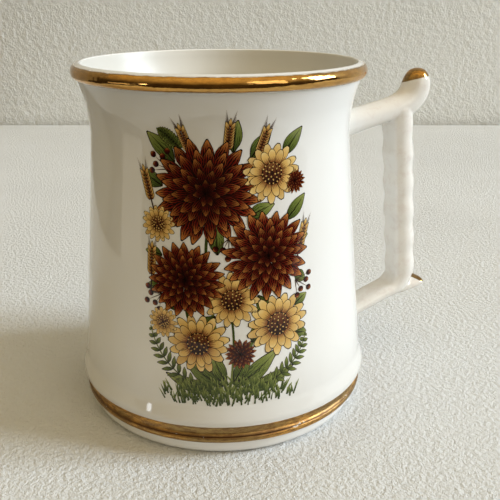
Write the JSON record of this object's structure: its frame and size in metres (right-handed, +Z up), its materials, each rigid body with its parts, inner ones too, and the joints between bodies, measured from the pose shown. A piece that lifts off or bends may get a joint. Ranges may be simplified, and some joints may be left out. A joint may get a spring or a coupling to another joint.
{
  "type": "pint tankard",
  "caption": "White glazed tankard, waisted wall under a rolled lip, moulded foot, side handle with thumb rest and spur, gilt bands and a printed botanical panel.",
  "frame": {"origin": "on the table plane, under the middle of the footprint's box; the body's own axis is 19.2 mm from it on the -X side", "axes": "+Z up out of the mouth, +X from the body out along the handle, +Y across the handle"},
  "size_m": [0.1426, 0.1042, 0.12],
  "materials": {
    "glazed_earthenware": "clear glossy lead-free glaze over white earthenware",
    "slip": "wiped slip under the same glossy glaze",
    "gilding": "fired bright gold, brushed on, slightly worn",
    "transfer_print": "enamel transfer fired into the glaze, glossy"
  },
  "bodies": {
    "root": {"tankard_body": "glazed_earthenware", "handle": "glazed_earthenware", "upper_slip_joint": "slip", "lower_slip_joint": "slip", "rim_gilding": "gilding", "foot_gilding_wide": "gilding", "foot_gilding_line": "gilding", "thumb_rest_gilding": "gilding", "spur_gilding": "gilding", "printed_panel": "transfer_print"}
  },
  "joints": []
}
